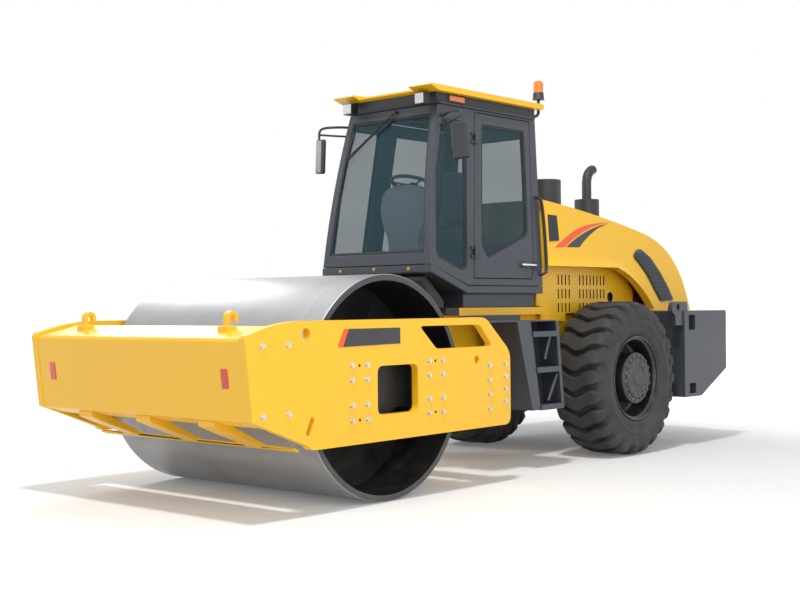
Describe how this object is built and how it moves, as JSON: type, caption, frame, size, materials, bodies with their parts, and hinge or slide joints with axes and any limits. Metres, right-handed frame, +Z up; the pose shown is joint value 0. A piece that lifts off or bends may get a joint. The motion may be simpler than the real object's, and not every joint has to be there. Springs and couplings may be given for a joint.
{
  "type": "single-drum vibratory soil roller",
  "caption": "Articulated ride-on soil roller with a smooth steel drum in a plated front frame, enclosed glazed cab, sloping engine hood and rear drive wheels.",
  "frame": {"origin": "centre of the bounding box's bottom face, on the ground under the machine", "axes": "+X forwards towards the drum, +Y to the driver's left, +Z up"},
  "size_m": [6.507, 2.4, 3.38],
  "materials": {
    "yellow_paint": "gloss",
    "dark_grey_paint": "satin",
    "black_paint": "satin",
    "drum_steel": "satin",
    "chrome": "polished",
    "tinted_glass": "gloss",
    "tire_rubber": "matte",
    "cab_plastic": "matte",
    "seat_fabric": "matte",
    "amber_lens": "gloss"
  },
  "bodies": {
    "rear_frame": {"rear_chassis": "yellow_paint", "rear_axle": "black_paint", "engine_block": "black_paint", "counterweight": "dark_grey_paint", "left_tank": "dark_grey_paint", "right_tank": "dark_grey_paint", "left_steps": "dark_grey_paint", "right_steps": "dark_grey_paint", "left_cab_side": "dark_grey_paint", "right_cab_side": "dark_grey_paint", "left_quarter_window": "tinted_glass", "right_quarter_window": "tinted_glass", "cab_front": "dark_grey_paint", "windshield": "tinted_glass", "cab_rear": "dark_grey_paint", "rear_window": "tinted_glass", "cab_floor": "dark_grey_paint", "cab_ceiling": "dark_grey_paint", "cab_roof": "yellow_paint", "seat": "seat_fabric", "console": "cab_plastic", "steering_wheel": "cab_plastic", "left_side_panel": "yellow_paint", "right_side_panel": "yellow_paint", "left_work_lamp": "black_paint", "right_work_lamp": "black_paint", "beacon": "amber_lens", "left_mirror": "black_paint", "right_mirror": "black_paint", "left_grab_rail": "black_paint", "right_grab_rail": "black_paint", "front_wiper": "cab_plastic"},
    "hood": {"hood": "yellow_paint", "exhaust_stack": "black_paint", "air_cleaner": "black_paint", "left_side_grille": "dark_grey_paint", "right_side_grille": "dark_grey_paint"},
    "left_door": {"left_door": "dark_grey_paint", "left_door_window": "tinted_glass"},
    "right_door": {"right_door": "dark_grey_paint", "right_door_window": "tinted_glass"},
    "left_wheel": {"left_tire": "tire_rubber", "left_rim": "dark_grey_paint"},
    "right_wheel": {"right_tire": "tire_rubber", "right_rim": "dark_grey_paint"},
    "centre_joint": {"centre_joint": "black_paint"},
    "left_ram_barrel": {"left_ram_barrel": "yellow_paint"},
    "right_ram_barrel": {"right_ram_barrel": "yellow_paint"},
    "left_ram_rod": {"left_ram_rod": "chrome"},
    "right_ram_rod": {"right_ram_rod": "chrome"},
    "drum_frame": {"left_side_plate": "yellow_paint", "right_side_plate": "yellow_paint", "front_beam": "yellow_paint", "rear_beam": "yellow_paint", "front_scraper": "yellow_paint", "rear_scraper": "yellow_paint", "left_drum_mount": "black_paint", "right_drum_mount": "black_paint"},
    "drum": {"drum": "drum_steel"}
  },
  "joints": [
    {"name": "left_wheel_spin", "type": "hinge", "parent": "rear_frame", "child": "left_wheel", "pos_m": [-1.5895, 0.8, 0.7], "axis": [0, 1, 0], "continuous": true},
    {"name": "right_wheel_spin", "type": "hinge", "parent": "rear_frame", "child": "right_wheel", "pos_m": [-1.5895, -0.8, 0.7], "axis": [0, 1, 0], "continuous": true},
    {"name": "drum_spin", "type": "hinge", "parent": "drum_frame", "child": "drum", "pos_m": [1.8405, 0, 0.8], "axis": [0, 1, 0], "continuous": true},
    {"name": "steering", "type": "hinge", "parent": "rear_frame", "child": "centre_joint", "pos_m": [0.1255, 0, 0.8], "axis": [0, 0, 1], "range_deg": [-33, 33]},
    {"name": "drum_frame_roll", "type": "hinge", "parent": "centre_joint", "child": "drum_frame", "pos_m": [0.3405, 0, 0.8], "axis": [1, 0, 0], "range_deg": [-10, 10]},
    {"name": "left_ram_swing", "type": "hinge", "parent": "rear_frame", "child": "left_ram_barrel", "pos_m": [-0.4345, 0.26, 0.8], "axis": [0, 0, 1], "range_deg": [-5, 5]},
    {"name": "right_ram_swing", "type": "hinge", "parent": "rear_frame", "child": "right_ram_barrel", "pos_m": [-0.4345, -0.26, 0.8], "axis": [0, 0, 1], "range_deg": [-5, 5]},
    {"name": "left_ram_stroke", "type": "slide", "parent": "left_ram_barrel", "child": "left_ram_rod", "axis": [1, 0, 0], "range_m": [-0.15, 0.15]},
    {"name": "right_ram_stroke", "type": "slide", "parent": "right_ram_barrel", "child": "right_ram_rod", "axis": [1, 0, 0], "range_m": [-0.15, 0.15]},
    {"name": "hood_tilt", "type": "hinge", "parent": "rear_frame", "child": "hood", "pos_m": [-3.1955, 0, 1.316], "axis": [0, -1, 0], "range_deg": [0, 50]},
    {"name": "left_door_swing", "type": "hinge", "parent": "rear_frame", "child": "left_door", "pos_m": [0.2395, 0.62529, 1.602], "axis": [0.1212, 0.082, -0.9892], "range_deg": [0, 85]},
    {"name": "right_door_swing", "type": "hinge", "parent": "rear_frame", "child": "right_door", "pos_m": [0.2395, -0.62529, 1.602], "axis": [-0.1212, 0.082, 0.9892], "range_deg": [0, 85]}
  ],
  "couplings": [
    {"joint": "left_ram_swing", "follows": "steering", "ratio": 0.12727},
    {"joint": "right_ram_swing", "follows": "steering", "ratio": 0.12727},
    {"joint": "left_ram_stroke", "follows": "steering", "m_per_rad": -0.25089},
    {"joint": "right_ram_stroke", "follows": "steering", "m_per_rad": 0.25089}
  ]
}
